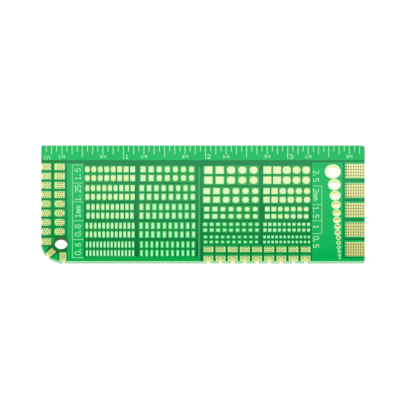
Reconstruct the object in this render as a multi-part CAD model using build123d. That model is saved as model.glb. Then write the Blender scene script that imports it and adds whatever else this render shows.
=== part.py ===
from build123d import *
import os
from math import cos, pi, radians, sin, sqrt

# A bare circuit board for soldering practice, lying on its back with its print up.
# X runs along the ruler, Y towards the ruler's edge, Z up, and the origin is the middle of the
# underside. Lengths are millimetres. A "drop" is a distance down the board from the ruler's edge.

# Layers, from the underside up
laminate_thickness = 1.51
mask_thickness = 0.03
copper_thickness = 0.03
land_thickness = 0.03
print_thickness = 0.03

# Outline
corner_radius = 6.6
small_corner_radius = 0.9
ruler_corner_radius = 0.4

# Mounting hole, beside the large corner
hole_radius = 2.0
hole_inset_x = 6.15
hole_inset_y = 6.2

# Ruler, a copper strip under the mask with printed ticks
ruler_strip_height = 5.05
ruler_field_gap = 1.15
inch = 25.4
ticks_per_inch = 16
tick_width = 0.25
inch_tick = 4.7
half_inch_tick = 4.0
eighth_tick = 3.1
sixteenth_tick = 2.1

# Label strips, which turn along the board's foot, and their printed brackets
copper_keepout = 0.3
left_strip_width = 5.1
right_strip_width = 9.5
right_strip_rise = 0.35
foot_strip_height = 1.1
bracket_line = 0.24
left_bracket_reach = 3.5
right_bracket_reach = 3.05
bracket_print_margin = 0.1
bracket_end_outset = 0.15

# Practice blocks: a bar block and a dot block have five groups of two rows each
isolation_line = 0.3
row_gap = 1.0
group_gap = 0.8
tight_gap = 0.5
wide_gap = 1.0
bar_height = 2.0
field_top_margin = 0.7
field_bottom_margin = 1.4
strip_block_gap = 0.24
block_strip_gap = 0.45
block_gap = 1.03
trace_width = 0.6
trace_gap = 0.7
trace_end_gap = 1.2

# Bar pads: width, then how many ovals, octagons and rectangles lie in a row
bar_rows_tight = [(1.5, 3, 2, 3), (1.25, 3, 3, 3), (1.0, 3, 4, 3), (0.8, 4, 5, 3), (0.6, 4, 5, 5)]
bar_rows_wide = [(1.5, 3, 2, 2), (1.25, 3, 3, 2), (1.0, 3, 3, 3), (0.8, 3, 4, 3), (0.6, 4, 4, 3)]

# Dot pads: width, then how many squares, octagons and rounds lie in a row
dot_rows_wide = [(2.5, 2, 1, 2), (2.0, 2, 2, 2), (1.5, 2, 0, 5), (1.0, 3, 0, 6), (0.75, 3, 0, 7)]
dot_rows_tight = [(2.5, 2, 1, 2), (2.0, 2, 2, 2), (1.5, 2, 0, 5), (1.0, 3, 0, 7), (0.75, 4, 0, 8)]

# How corners and rounds are drawn: small ones get fewer flats
corner_share = 0.25
cut_corners_from = 1.0
oval_end_flats_from = [(1.0, 3), (0.0, 2)]
flats_from = [(4.5, 24), (3.2, 20), (2.8, 16), (2.0, 10), (0.9, 8), (0.0, 6)]

# Castellations: plated half holes in the board's edge, each with its land
notch_radius = 0.5
notch_flat_count = 6
plating = 0.12
edge_pad_length = 2.9
edge_column_gap = 1.25
via_pad_length = 3.05
left_zone_margin = 0.85
left_pad_height = 2.15
left_octagon_height = 2.2
left_pad_pitch = 3.2
left_rows_of_each_shape = 4
left_top_margin = 1.16
last_pad_drop = 3.5
corner_zone_height = 5.64
left_octagon_corner = 0.7

# The two edge pads at the large corner
corner_pad_angle = 45.0
corner_pad_width = 1.85
corner_pad_length = 2.75
foot_pad_width = 2.05
foot_pad_length = 3.0
foot_pad_inset = 6.67

# Lower rows: castellated pads at the edge and a row of via pads above them
lower_pad_count = 9
lower_pads_left_margin = 0.4
lower_pads_right_margin = 0.07
lower_pad_width = 2.9
lower_edge_length = 1.75
lower_row_gap = 1.42
lower_via_height = 1.72
dot_lower_gap = 1.01

# Large grid pads at the right end
grid_pad_count = 5
grid_row_gap = 1.91
grid_pad_width = 5.72
grid_pad_height = 4.85
grid_pad_gap = 1.08
grid_top_margin = 0.145
grid_bottom_margin = 1.76

# Graded plated holes, by the diameter of their lands
land_diameters = [4.95, 3.97, 3.45, 2.92, 2.52, 2.35, 2.07, 1.93, 1.47, 1.4, 1.18, 0.98, 0.84, 0.62]
land_rim = 0.35
small_land_rim_share = 0.3
ring_gap = 0.06
small_ring_gap = 0.33
small_ring_from = 1.6
hole_column_top_margin = 0.325
hole_column_bottom_margin = 0.6
hole_column_inset = 0.6

# Heights of the layers
laminate_top = laminate_thickness
mask_top = laminate_top + mask_thickness
strip_top = mask_top + copper_thickness


def row_width(row, gap):
    """Width of a row's copper ground, with half a gap outside its first and last pads."""
    width, *counts = row
    return sum(counts) * (width + gap) - isolation_line


def block_width(rows, gap):
    return max(row_width(row, gap) for row in rows)


def group_height(pad_height):
    return 2 * (pad_height + row_gap) - isolation_line


def stack_height(pad_heights):
    """Height of a block's groups one under the other."""
    return sum(group_height(h) for h in pad_heights) + group_gap * (len(pad_heights) - 1)


def left_column_height():
    """From the first left pad's centre to the last one's lower edge."""
    regular = left_pad_pitch * (2 * left_rows_of_each_shape - 1)
    return regular + last_pad_drop + left_octagon_height / 2


def grid_column_height():
    return grid_pad_count * grid_pad_height + (grid_pad_count - 1) * grid_row_gap


def gap_below(land):
    return ring_gap if land > small_ring_from else small_ring_gap


def hole_column_height():
    return sum(land_diameters) + sum(gap_below(land) for land in land_diameters[:-1])


# Heights of the pads in each group
bar_heights = [bar_height for _ in bar_rows_tight]
dot_heights = [row[0] for row in dot_rows_wide]

# The board's zones from left to right, each starting where the one before it ends
left_strip_x = edge_pad_length + edge_column_gap + via_pad_length + left_zone_margin
bar_tight_x = left_strip_x + left_strip_width + strip_block_gap
bar_wide_x = bar_tight_x + block_width(bar_rows_tight, tight_gap) + block_gap
trace_x = bar_wide_x + block_width(bar_rows_wide, wide_gap) + trace_gap
dot_wide_x = trace_x + trace_width + trace_gap
dot_tight_x = dot_wide_x + block_width(dot_rows_wide, wide_gap) + block_gap
right_strip_x = dot_tight_x + block_width(dot_rows_tight, tight_gap) + block_strip_gap
grid_pad_x = right_strip_x + right_strip_width + grid_pad_gap
board_length = grid_pad_x + grid_pad_width

# The field below the ruler is as high as the tallest of its stacks
field_drop = ruler_strip_height + ruler_field_gap
block_drop = field_drop + field_top_margin
lower_rows_height = lower_via_height + lower_row_gap + lower_edge_length
bar_stack = field_top_margin + stack_height(bar_heights) + field_bottom_margin
dot_stack = field_top_margin + stack_height(dot_heights) + dot_lower_gap + lower_rows_height
left_stack = left_column_height() + left_top_margin + corner_zone_height
grid_stack = grid_top_margin + grid_column_height() + grid_bottom_margin
hole_stack = hole_column_top_margin + hole_column_height() + hole_column_bottom_margin
board_width = field_drop + max(bar_stack, dot_stack, left_stack, grid_stack, hole_stack)


def at(x, drop):
    """The place that is x from the board's left end and drop below its ruler edge."""
    return Pos(x - board_length / 2, board_width / 2 - drop)


def box(x, drop, width, height):
    """A rectangle named by its upper left corner."""
    return at(x + width / 2, drop + height / 2) * Rectangle(width, height)


def layer(sketch, bottom, thickness):
    return Pos(0, 0, bottom) * extrude(sketch, thickness)


def save(name, solids):
    export_step(Compound(list(solids)), f"parts/{name}.step")


def flats_for(size, table):
    return next(count for least, count in table if size >= least)


def round_outline(diameter, size_class):
    """A round drawn as a polygon of the same area, with a flat facing up."""
    flats = flats_for(size_class, flats_from)
    reach = diameter / 2 * sqrt(2 * pi / (flats * sin(2 * pi / flats)))
    return RegularPolygon(reach, flats, rotation=90 - 180 / flats)


def cut_corner_outline(width, height, corner):
    return chamfer(Rectangle(width, height).vertices(), corner)


def octagon_outline(width, height):
    """A pad with its corners cut, or a plain one where it is too narrow for the cut to show."""
    if width < cut_corners_from:
        return Rectangle(width, height)
    return cut_corner_outline(width, height, corner_share * width)


def oval_outline(width, height):
    """A straight-sided oval, its half-round ends drawn with a few flats."""
    flats = flats_for(width, oval_end_flats_from)
    points = []
    for end in (0, 180):
        for step in range(flats + 1):
            angle = radians(end + 180 * step / flats)
            straight = (height - width) / 2 * (1 if end == 0 else -1)
            points.append((width / 2 * cos(angle), width / 2 * sin(angle) + straight))
    return make_face(Polyline(*points, close=True))


def board_outline():
    outline = Rectangle(board_length, board_width)
    corners = [(-1, -1, corner_radius), (1, -1, small_corner_radius),
               (1, 1, small_corner_radius), (-1, 1, ruler_corner_radius)]
    for side_x, side_y, radius in corners:
        corner = max(outline.vertices(), key=lambda v: side_x * v.X + side_y * v.Y)
        outline = fillet(corner, radius)
    return outline


def mounting_hole(extra=0.0):
    return at(hole_inset_x, board_width - hole_inset_y) * Circle(hole_radius + extra)


# Castellations

def left_row_drops():
    """Drops of the left pads' centres: rectangles, octagons, then one more edge pad."""
    first = field_drop + left_top_margin
    regular = [first + left_pad_pitch * row for row in range(2 * left_rows_of_each_shape)]
    return regular + [regular[-1] + last_pad_drop]


def left_outline(row, length):
    """The outline of a left pad in its row, along local X from zero."""
    centre = Pos(length / 2, 0)
    if row < left_rows_of_each_shape:
        return centre * Rectangle(length, left_pad_height)
    if row < 2 * left_rows_of_each_shape:
        return centre * cut_corner_outline(length, left_octagon_height, left_octagon_corner)
    return centre * Rectangle(length, left_octagon_height)


def notch_outline(extra=0.0):
    return RegularPolygon(notch_radius + extra, notch_flat_count)


def edge_pad(outline):
    """A land that starts at the board's edge, local X = 0, with its plated half hole there."""
    reach = notch_radius + plating
    half = Pos(reach / 2, 0) * Rectangle(reach, 2 * reach)
    land = layer(outline - notch_outline(), mask_top, land_thickness)
    wall = layer((notch_outline(plating) & half) - notch_outline(), 0, mask_top)
    return land + wall


def lower_columns():
    """Centres of the lower pads, under the two dot blocks."""
    first = dot_wide_x + lower_pads_left_margin + lower_pad_width / 2
    last = right_strip_x - block_strip_gap - lower_pads_right_margin - lower_pad_width / 2
    pitch = (last - first) / (lower_pad_count - 1)
    return [first + pitch * column for column in range(lower_pad_count)]


def left_edge_places():
    return [at(0, drop) for drop in left_row_drops()]


def lower_edge_places():
    return [at(x, board_width) * Rot(Z=90) for x in lower_columns()]


def corner_place():
    """On the large corner's arc, facing its centre."""
    centre = at(corner_radius, board_width - corner_radius)
    return centre * Rot(Z=180 + corner_pad_angle) * Pos(corner_radius, 0) * Rot(Z=180)


def foot_place():
    return at(foot_pad_inset, board_width) * Rot(Z=90)


def all_notches():
    places = left_edge_places() + lower_edge_places() + [corner_place(), foot_place()]
    return [place * notch_outline(plating) for place in places]


# Graded plated holes

def hole_bore(land):
    return land - 2 * min(land_rim, small_land_rim_share * land)


def graded_holes():
    """Each hole's land diameter and place: the lands share one line at their right."""
    line = right_strip_x + right_strip_width - hole_column_inset
    drop = field_drop + hole_column_top_margin
    holes = []
    for land in land_diameters:
        holes.append((land, at(line - land / 2, drop + land / 2)))
        drop += land + gap_below(land)
    return holes


def drilled_holes():
    """What the drill leaves for each barrel: its bore and its plating."""
    return [place * round_outline(hole_bore(land) + 2 * plating_of(land), land)
            for land, place in graded_holes()]


def plating_of(land):
    """A barrel's wall, thinner where the hole is so small that its rim is."""
    return min(plating, small_land_rim_share * (land - hole_bore(land)))


# Layers of the board

def laminate_core():
    sheet = board_outline() - mounting_hole() - all_notches() - drilled_holes()
    return layer(sheet, 0, laminate_thickness)


def ruler_strip_outline():
    return box(0, 0, board_length, ruler_strip_height) & board_outline()


def foot_strip(x, end_x):
    """The part of a label strip that runs along the board's foot."""
    return box(x, board_width - foot_strip_height, end_x - x, foot_strip_height)


def left_strip_outline():
    """Down beside the left pads, then along the foot as far as the centre stripe."""
    strip = box(left_strip_x, field_drop, left_strip_width, board_width - field_drop)
    strip += foot_strip(left_strip_x, trace_x + trace_width)
    foot_pad = foot_place() * Rectangle(2 * (foot_pad_length + copper_keepout),
                                        foot_pad_width + 2 * copper_keepout)
    return strip - mounting_hole(copper_keepout) - foot_pad


def right_strip_outline():
    """Down under the graded holes, then along the foot to the board's end."""
    top = field_drop - right_strip_rise
    strip = box(right_strip_x, top, right_strip_width, board_width - top)
    return (strip + foot_strip(right_strip_x, board_length)) & board_outline()


def solder_mask():
    """The dark mask over bare laminate, in every place that no copper strip takes."""
    strips = [ruler_strip_outline(), left_strip_outline(), right_strip_outline()]
    sheet = board_outline() - strips - mounting_hole() - all_notches()
    return layer(sheet, laminate_top, mask_thickness)


def masked_strip(outline):
    """Copper with its mask, standing higher than the mask beside it."""
    return layer(outline, laminate_top, mask_thickness + copper_thickness)


def centre_trace():
    """From near the ruler down to the left strip's foot."""
    height = board_width - foot_strip_height - field_drop - trace_end_gap
    return layer(box(trace_x, field_drop + trace_end_gap, trace_width, height),
                 mask_top, copper_thickness)


# Practice blocks

def group_drops(pad_heights):
    """Drops of the groups' upper edges, and of the last one's lower edge."""
    drops = [block_drop]
    for height in pad_heights:
        drops.append(drops[-1] + group_height(height) + group_gap)
    drops[-1] -= group_gap
    return drops


def block_grounds(block_x, rows, gap, pad_heights):
    """The copper ground under each group of two rows, masked over."""
    width = block_width(rows, gap)
    drops = group_drops(pad_heights)
    grounds = []
    for row, height, drop in zip(rows, pad_heights, drops):
        own = row_width(row, gap)
        outline = box(block_x + (width - own) / 2, drop, own, group_height(height))
        grounds.append(layer(outline, mask_top, copper_thickness))
    return grounds


def pad_group(block_x, block_span, drop, shapes, width, gap, height):
    """Two equal rows of pads, each with the given outlines from left to right."""
    prototypes = {id(shape): layer(shape, strip_top, land_thickness) for shape in shapes}
    pitch = width + gap
    start = block_x + (block_span - pitch * (len(shapes) - 1)) / 2
    first = drop + (row_gap - isolation_line) / 2 + height / 2
    pads = []
    for row_drop in (first, first + height + row_gap):
        for column, shape in enumerate(shapes):
            pads.append(at(start + pitch * column, row_drop) * prototypes[id(shape)])
    return pads


def bar_shapes(row, ovals_first):
    width, ovals, octagons, rectangles = row
    shapes = [oval_outline(width, bar_height)] * ovals
    shapes += [octagon_outline(width, bar_height)] * octagons
    shapes += [Rectangle(width, bar_height)] * rectangles
    return shapes if ovals_first else shapes[::-1]


def dot_shapes(row):
    width, squares, octagons, rounds = row
    shapes = [Rectangle(width, width)] * squares
    shapes += [octagon_outline(width, width)] * octagons
    return shapes + [round_outline(width, width)] * rounds


def save_block(name, block_x, rows, gap, pad_heights, shapes_of):
    save(f"{name}_ground", block_grounds(block_x, rows, gap, pad_heights))
    span = block_width(rows, gap)
    for row, height, drop in zip(rows, pad_heights, group_drops(pad_heights)):
        width = row[0]
        pads = pad_group(block_x, span, drop, shapes_of(row), width, gap, height)
        save(f"{name}_pads_{round(100 * width):03d}", pads)


# Pads with many small vias, on the mask

def via_pads_left():
    x = edge_pad_length + edge_column_gap
    return [at(x, drop) * layer(left_outline(row, via_pad_length), mask_top, land_thickness)
            for row, drop in enumerate(left_row_drops()[:-1])]


def via_pads_lower():
    drop = board_width - lower_edge_length - lower_row_gap - lower_via_height / 2
    pad = layer(Rectangle(lower_pad_width, lower_via_height), mask_top, land_thickness)
    return [at(x, drop) * pad for x in lower_columns()]


def grid_pads():
    pad = layer(Rectangle(grid_pad_width, grid_pad_height), mask_top, land_thickness)
    first = field_drop + grid_top_margin + grid_pad_height / 2
    pitch = grid_pad_height + grid_row_gap
    return [at(grid_pad_x + grid_pad_width / 2, first + pitch * row) * pad
            for row in range(grid_pad_count)]


def edge_pads_left():
    return [place * edge_pad(left_outline(row, edge_pad_length))
            for row, place in enumerate(left_edge_places())]


def edge_pads_lower():
    outline = Pos(lower_edge_length / 2, 0) * Rectangle(lower_edge_length, lower_pad_width)
    pad = edge_pad(outline)
    return [place * pad for place in lower_edge_places()]


def corner_edge_pad():
    """The land's outer end follows the corner's arc."""
    outline = Pos(corner_pad_length / 2, 0) * Rectangle(corner_pad_length, corner_pad_width)
    arc = Pos(corner_radius, 0) * Circle(corner_radius)
    return corner_place() * edge_pad(outline & arc)


def foot_edge_pad():
    outline = Pos(foot_pad_length / 2, 0) * Rectangle(foot_pad_length, foot_pad_width)
    return foot_place() * edge_pad(outline)


def plated_hole(land):
    """A barrel through the board, with its land on the front."""
    bore = round_outline(hole_bore(land), land)
    barrel = round_outline(hole_bore(land) + 2 * plating_of(land), land)
    ring = round_outline(land, land)
    return layer(ring - bore, strip_top, land_thickness) + layer(barrel - bore, 0, strip_top)


# Print on the strips

def tick_length(count):
    if count % ticks_per_inch == 0:
        return inch_tick
    if count % (ticks_per_inch // 2) == 0:
        return half_inch_tick
    return eighth_tick if count % 2 == 0 else sixteenth_tick


def ruler_ticks():
    spacing = inch / ticks_per_inch
    ticks = []
    for count in range(1, int((board_length - tick_width) / spacing) + 1):
        mark = box(count * spacing - tick_width / 2, 0, tick_width, tick_length(count))
        ticks.append(layer(mark, strip_top, print_thickness))
    return ticks


def bracket(x, reach, drops, upright_x):
    """An upright line with an arm at each drop, printed on its strip."""
    upright = drops[-1] - drops[0] + bracket_line
    outline = box(upright_x, drops[0] - bracket_line / 2, bracket_line, upright)
    for drop in drops:
        outline += box(x, drop - bracket_line / 2, reach, bracket_line)
    return layer(outline, strip_top, print_thickness)


def between_groups(pad_heights):
    """Drops of the middles of the gaps between a block's groups."""
    return [drop - group_gap / 2 for drop in group_drops(pad_heights)[1:-1]]


def left_bracket():
    """It holds all five groups: an arm in each gap and one beyond each end."""
    x = left_strip_x + left_strip_width - bracket_print_margin - left_bracket_reach
    first, last = group_drops(bar_heights)[0], group_drops(bar_heights)[-1]
    arms = [first - bracket_end_outset, *between_groups(bar_heights), last + bracket_end_outset]
    return bracket(x, left_bracket_reach, arms, x)


def right_bracket():
    """It holds the three middle groups."""
    x = right_strip_x + bracket_print_margin
    upright_x = x + right_bracket_reach - bracket_line
    return bracket(x, right_bracket_reach, between_groups(dot_heights), upright_x)


os.makedirs("parts", exist_ok=True)

save("laminate_core", [laminate_core()])
save("solder_mask", [solder_mask()])
save("ruler_strip", [masked_strip(ruler_strip_outline())])
save("label_strip_left", [masked_strip(left_strip_outline())])
save("label_strip_right", [masked_strip(right_strip_outline() - drilled_holes())])
save("centre_trace", [centre_trace()])

save_block("bar_tight", bar_tight_x, bar_rows_tight, tight_gap, bar_heights,
           lambda row: bar_shapes(row, ovals_first=True))
save_block("bar_wide", bar_wide_x, bar_rows_wide, wide_gap, bar_heights,
           lambda row: bar_shapes(row, ovals_first=False))
save_block("dot_wide", dot_wide_x, dot_rows_wide, wide_gap, dot_heights, dot_shapes)
save_block("dot_tight", dot_tight_x, dot_rows_tight, tight_gap, dot_heights, dot_shapes)

save("via_pads_left", via_pads_left())
save("via_pads_lower", via_pads_lower())
save("grid_pads", grid_pads())
save("edge_pads_left", edge_pads_left())
save("edge_pads_lower", edge_pads_lower())
save("edge_pad_corner", [corner_edge_pad()])
save("edge_pad_foot", [foot_edge_pad()])
for number, (land, place) in enumerate(graded_holes(), start=1):
    save(f"plated_hole_{number:02d}", [place * plated_hole(land)])

save("ruler_ticks", ruler_ticks())
save("bracket_left", [left_bracket()])
save("bracket_right", [right_bracket()])

print(f"board {board_length:.2f} x {board_width:.2f} mm")
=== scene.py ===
# %% [markdown]
# A bare circuit board for soldering practice, dressed for its picture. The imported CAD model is
# the frame: it says where every land, strip and hole lies. This file gives the board what a
# reader of the picture sees up close: the drilled vias, the copper cells under the green mask,
# smooth round lands, the print and the finishes.
#
# All drawings below are in millimetres, because that is what the board's ruler reads. Each tree
# shrinks its result to metres at its end.

# %% Load the frame
from math import asin, cos, pi, radians, sin, tau

import bpy
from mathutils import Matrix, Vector


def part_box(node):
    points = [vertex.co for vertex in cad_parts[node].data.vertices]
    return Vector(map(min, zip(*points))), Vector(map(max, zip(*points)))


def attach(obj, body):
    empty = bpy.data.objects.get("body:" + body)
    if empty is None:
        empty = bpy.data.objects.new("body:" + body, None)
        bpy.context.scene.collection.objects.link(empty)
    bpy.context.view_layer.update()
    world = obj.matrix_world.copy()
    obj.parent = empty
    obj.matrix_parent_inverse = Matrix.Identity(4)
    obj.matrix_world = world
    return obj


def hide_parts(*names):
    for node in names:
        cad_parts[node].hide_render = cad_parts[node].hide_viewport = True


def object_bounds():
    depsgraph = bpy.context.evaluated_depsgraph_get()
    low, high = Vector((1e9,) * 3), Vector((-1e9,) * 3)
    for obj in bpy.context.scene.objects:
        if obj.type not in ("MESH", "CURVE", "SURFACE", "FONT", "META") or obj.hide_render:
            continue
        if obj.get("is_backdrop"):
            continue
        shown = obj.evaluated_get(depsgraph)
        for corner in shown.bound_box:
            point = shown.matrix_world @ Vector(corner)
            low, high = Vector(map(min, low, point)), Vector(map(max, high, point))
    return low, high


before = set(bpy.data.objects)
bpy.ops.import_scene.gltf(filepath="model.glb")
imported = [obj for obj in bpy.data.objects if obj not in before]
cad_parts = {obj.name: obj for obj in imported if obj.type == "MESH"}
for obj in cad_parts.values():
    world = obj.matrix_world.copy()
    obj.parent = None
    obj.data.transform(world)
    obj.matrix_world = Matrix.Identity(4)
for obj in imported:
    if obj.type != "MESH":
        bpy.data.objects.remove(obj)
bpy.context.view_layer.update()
MM = 0.001

# %% [markdown]
# The sizes that the scene shares with the CAD model. A "drop" is a distance down the board from
# its ruler edge, as one would measure it with the board in hand, and place() turns it into the
# frame's X and Y. The heights are the borders of the layers, from the back up to the gold, and
# a foil is one layer of copper.

# %% Sizes of the board
board_length, board_width = 100.0, 40.0
corner_radii = {"foot": 6.6, "small": 0.9, "ruler": 0.4}
hole_x, hole_drop, hole_radius = 6.15, 33.8, 2.0
heights = {"back": 0.0, "back_mask": 0.012, "core": 0.03, "mask": 1.51, "cell": 1.54,
           "frame": 1.56, "strip": 1.57, "top": 1.60}
foil = 0.03


def place(x, drop):
    return (x - board_length / 2, board_width / 2 - drop)


def cad_box(node):
    """A CAD node's left, right, upper and lower drop in millimetres."""
    low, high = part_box(node)
    return (low.x / MM + board_length / 2, high.x / MM + board_length / 2,
            board_width / 2 - high.y / MM, board_width / 2 - low.y / MM)


print("the ruler strip lies at", [round(v, 2) for v in cad_box("ruler_strip")])

# %% [markdown]
# Three groups of pads hold vias: two columns at the left edge, two rows at the foot and one
# column of large pads at the right end. Where they lie is worked out here, before the finishes,
# because the gold is painted greener along these pads' outlines, a painted highlight, and
# darker along their vias, a painted shade.

# %% Where the via pads lie
via_bore, via_drill, via_steps = 0.17, 0.2, 10
left_first, left_pitch, left_last = 7.36, 3.2, 33.26
left_drops = [left_first + left_pitch * row for row in range(8)] + [left_last]
edge_reach, inner_left, inner_width = 2.9, 4.15, 3.05
rect_height, round_height, round_corner = 2.12, 2.2, 0.95

low_left, low_right = cad_box("edge_pads_lower")[:2]
lower_top, lower_low = cad_box("via_pads_lower")[2:]
lower_count, lower_width, castle_reach = 9, 2.9, 1.75
lower_pitch = (low_right - low_left - lower_width) / (lower_count - 1)
lower_columns = [low_left + lower_width / 2 + lower_pitch * i for i in range(lower_count)]

grid_left, _, grid_top, grid_low = cad_box("grid_pads")
grid_count, grid_height, grid_overhang = 5, 4.85, 0.15
grid_left -= grid_overhang
grid_pitch = (grid_low - grid_top - grid_height) / (grid_count - 1)
first_column, second_column, column_pitch = 94.36, 94.98, 0.76
print("pitch of the lower pads", round(lower_pitch, 3), "and of the large pads",
      round(grid_pitch, 3))

# %% [markdown]
# Nodes are easier to read as sums. Value wraps one output socket, so that 1 - mask or
# height * 0.5 in Python adds the Math node that it names. Nodes wraps a whole tree, and its
# node() method makes any other node: its settings come first, then what goes into its sockets.
# The same two classes write the materials, the Geometry Nodes trees and the world.

# %% Node helpers
class Value:
    def __init__(self, nodes, socket):
        self.nodes, self.socket = nodes, socket

    def of(self, output):
        """Another output of the same node."""
        return Value(self.nodes, self.socket.node.outputs[output])

    def math(self, operation, *others):
        return self.nodes.node("ShaderNodeMath", {"operation": operation},
                               dict(enumerate((self, *others))))

    def __add__(self, other):
        return self.math("ADD", other)

    def __sub__(self, other):
        return self.math("SUBTRACT", other)

    def __mul__(self, other):
        return self.math("MULTIPLY", other)

    def __truediv__(self, other):
        return self.math("DIVIDE", other)

    def __mod__(self, other):
        return self.math("MODULO", other)

    def __rsub__(self, other):
        return self.nodes.number(other).math("SUBTRACT", self)

    __radd__ = __add__
    __rmul__ = __mul__

    def equals(self, other):
        """1 where the two are the same whole number, else 0."""
        return self.math("COMPARE", other, 0.5)

    def above(self, limit):
        """1 where it is above the limit, else 0."""
        return self.math("GREATER_THAN", limit)

    def below(self, limit):
        """1 where it is below the limit, else 0."""
        return self.math("LESS_THAN", limit)

    def near(self, middle, reach):
        """1 within reach of the middle, else 0."""
        return self.math("COMPARE", middle, reach)

    def magnitude(self):
        return self.math("ABSOLUTE")

    def either(self, *others):
        """The largest of several, so for values of 0 and 1 whether any of them is 1."""
        largest = self
        for other in others:
            largest = largest.math("MAXIMUM", other)
        return largest

    def clamped(self):
        return self.math("MAXIMUM", 0.0).math("MINIMUM", 1.0)


class Nodes:
    def __init__(self, tree):
        self.tree = tree

    def put(self, socket, value):
        if isinstance(value, (list, tuple)) and value and isinstance(value[0], Value):
            for one in value:
                self.tree.links.new(one.socket, socket)
        elif isinstance(value, Value):
            self.tree.links.new(value.socket, socket)
        else:
            socket.default_value = value

    def node(self, kind, settings=None, sockets=None, output=0):
        node = self.tree.nodes.new(kind)
        for name, value in (settings or {}).items():
            setattr(node, name, value)
        for name, value in (sockets or {}).items():
            self.put(node.inputs[name], value)
        return Value(self, node.outputs[output])

    def number(self, value):
        return self.node("ShaderNodeMath", {"operation": "ADD"}, {0: value, 1: 0.0})

    def seen(self):
        """1 where the camera looks, also in a mirror or through glass, else 0."""
        ray = self.node("ShaderNodeLightPath")
        return ray.either(ray.of("Is Glossy Ray"), ray.of("Is Transmission Ray"))


# %% [markdown]
# Finishes. Each one is a Principled surface whose colour, roughness and fine bump vary a little,
# because no real board is even. Patterns read Object coordinates: every piece sits at the
# origin, so a pattern runs on from piece to piece at the right scale. on_board() gives them in
# millimetres along the ruler and down from it.

# %% Finish helper
class Finish(Nodes):
    """A material: patterns in, one Principled surface out."""

    def __init__(self, name):
        self.material = bpy.data.materials.new(name)
        self.material.use_nodes = True
        super().__init__(self.material.node_tree)
        self.surface = self.tree.nodes["Principled BSDF"]
        self.where = self.node("ShaderNodeTexCoord", output="Object")
        parts = self.node("ShaderNodeSeparateXYZ", sockets={0: self.where})
        self.x, self.y, self.z = parts, parts.of("Y"), parts.of("Z")

    def on_board(self):
        return self.x / MM + board_length / 2, board_width / 2 - self.y / MM

    def set(self, **sockets):
        for name, value in sockets.items():
            self.put(self.surface.inputs[name.replace("_", " ")], value)

    def mix(self, low, high, share):
        low, high = [(*c, 1.0) if isinstance(c, tuple) else c for c in (low, high)]
        return self.node("ShaderNodeMix", {"data_type": "RGBA"},
                         {"Factor": share, 6: low, 7: high}, output=2)

    def noise(self, per_metre, detail=2.0, stretch=(1.0, 1.0, 1.0)):
        spot = self.node("ShaderNodeVectorMath", {"operation": "MULTIPLY"},
                         {0: self.where, 1: stretch})
        return self.node("ShaderNodeTexNoise", sockets={"Vector": spot, "Scale": per_metre,
                                                        "Detail": detail})

    def bump(self, height, strength, distance):
        self.set(Normal=self.node("ShaderNodeBump", sockets={
            "Height": height, "Strength": strength, "Distance": distance}))

    def attribute(self, name):
        return self.node("ShaderNodeAttribute", {"attribute_name": name}, output="Fac")


def linear(red, green, blue):
    """A colour as read off a screen, 0 to 255, made the linear one that a shader takes."""
    return tuple(((c / 255 + 0.055) / 1.055) ** 2.4 if c > 10 else c / 255 / 12.92
                 for c in (red, green, blue))


# %% [markdown]
# Solder mask is a thin glossy lacquer. Over copper it looks light, because the metal shines
# through it, and over bare laminate it looks darker. Both are painted lighter towards the ruler
# edge, a painted sheen from the lamp's reflection, so they grow deeper towards the lower edge,
# and the dark one is painted darker still between the pads at the left edge, a painted shade.
# The cells round the pads, the copper at the foot and the centre stripe each have a tint of
# their own. The glass weave under the mask prints through as a very faint bump.

# %% Mask finishes
weave_pitch, left_zone = 0.00052, 7.6


def mask_finish(name, upper, lower, left_edge_shade=None):
    """Colours at the ruler and the foot, a painted sheen, and a painted shade at the left edge."""
    paint = Finish(name)
    upper, lower = linear(*upper), linear(*lower)
    # Painted sheen: the mask is lighter towards the ruler edge and deeper towards the foot.
    share = (paint.y / (board_width * MM) * 1.6 + 0.72).clamped()
    shade = paint.mix(lower, upper, share)
    # Painted shade between the pads at the left edge.
    if left_edge_shade:
        along, _ = paint.on_board()
        shade = paint.mix(shade, linear(*left_edge_shade), along.below(left_zone) * 0.4)
    cloud = paint.noise(90, 3)
    shade = paint.mix(shade, tuple(c * 0.8 for c in lower), (cloud - 0.45).clamped() * 0.7)
    paint.set(Base_Color=shade, Roughness=cloud * 0.14 + 0.24, Specular_IOR_Level=0.04)
    warp, weft = [(axis * (tau / weave_pitch)).math("SINE") for axis in (paint.x, paint.y)]
    paint.bump(warp * weft + paint.noise(2500) * 0.6, 0.03, 0.00004)
    return paint.material


mask_over_copper = mask_finish("mask_over_copper", (50, 199, 111), (0, 186, 89))
mask_over_laminate = mask_finish("mask_over_laminate", (51, 150, 91), (0, 121, 54),
                                 left_edge_shade=(36, 125, 10))
mask_over_cells = mask_finish("mask_over_cells", (90, 200, 103), (36, 196, 88))
mask_over_foot = mask_finish("mask_over_foot", (8, 172, 78), (4, 175, 77))
mask_at_foot_pads = mask_finish("mask_at_foot_pads", (32, 177, 86), (32, 177, 86))
mask_over_trace = mask_finish("mask_over_trace", (76, 184, 109), (62, 176, 98))
print("mask finishes:", mask_over_copper.name, mask_over_laminate.name, mask_over_cells.name,
      mask_over_foot.name, mask_at_foot_pads.name, mask_over_trace.name)

# %% [markdown]
# The sawn edge shows the laminate itself: glass cloth in layers, pale and slightly green. A
# noise that is stretched along the board and squeezed in height gives the layers. Both
# finishes are paler towards the board's face, which is painted light. The finish of drilled
# walls is darker, which is painted shade in the hole.

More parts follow.
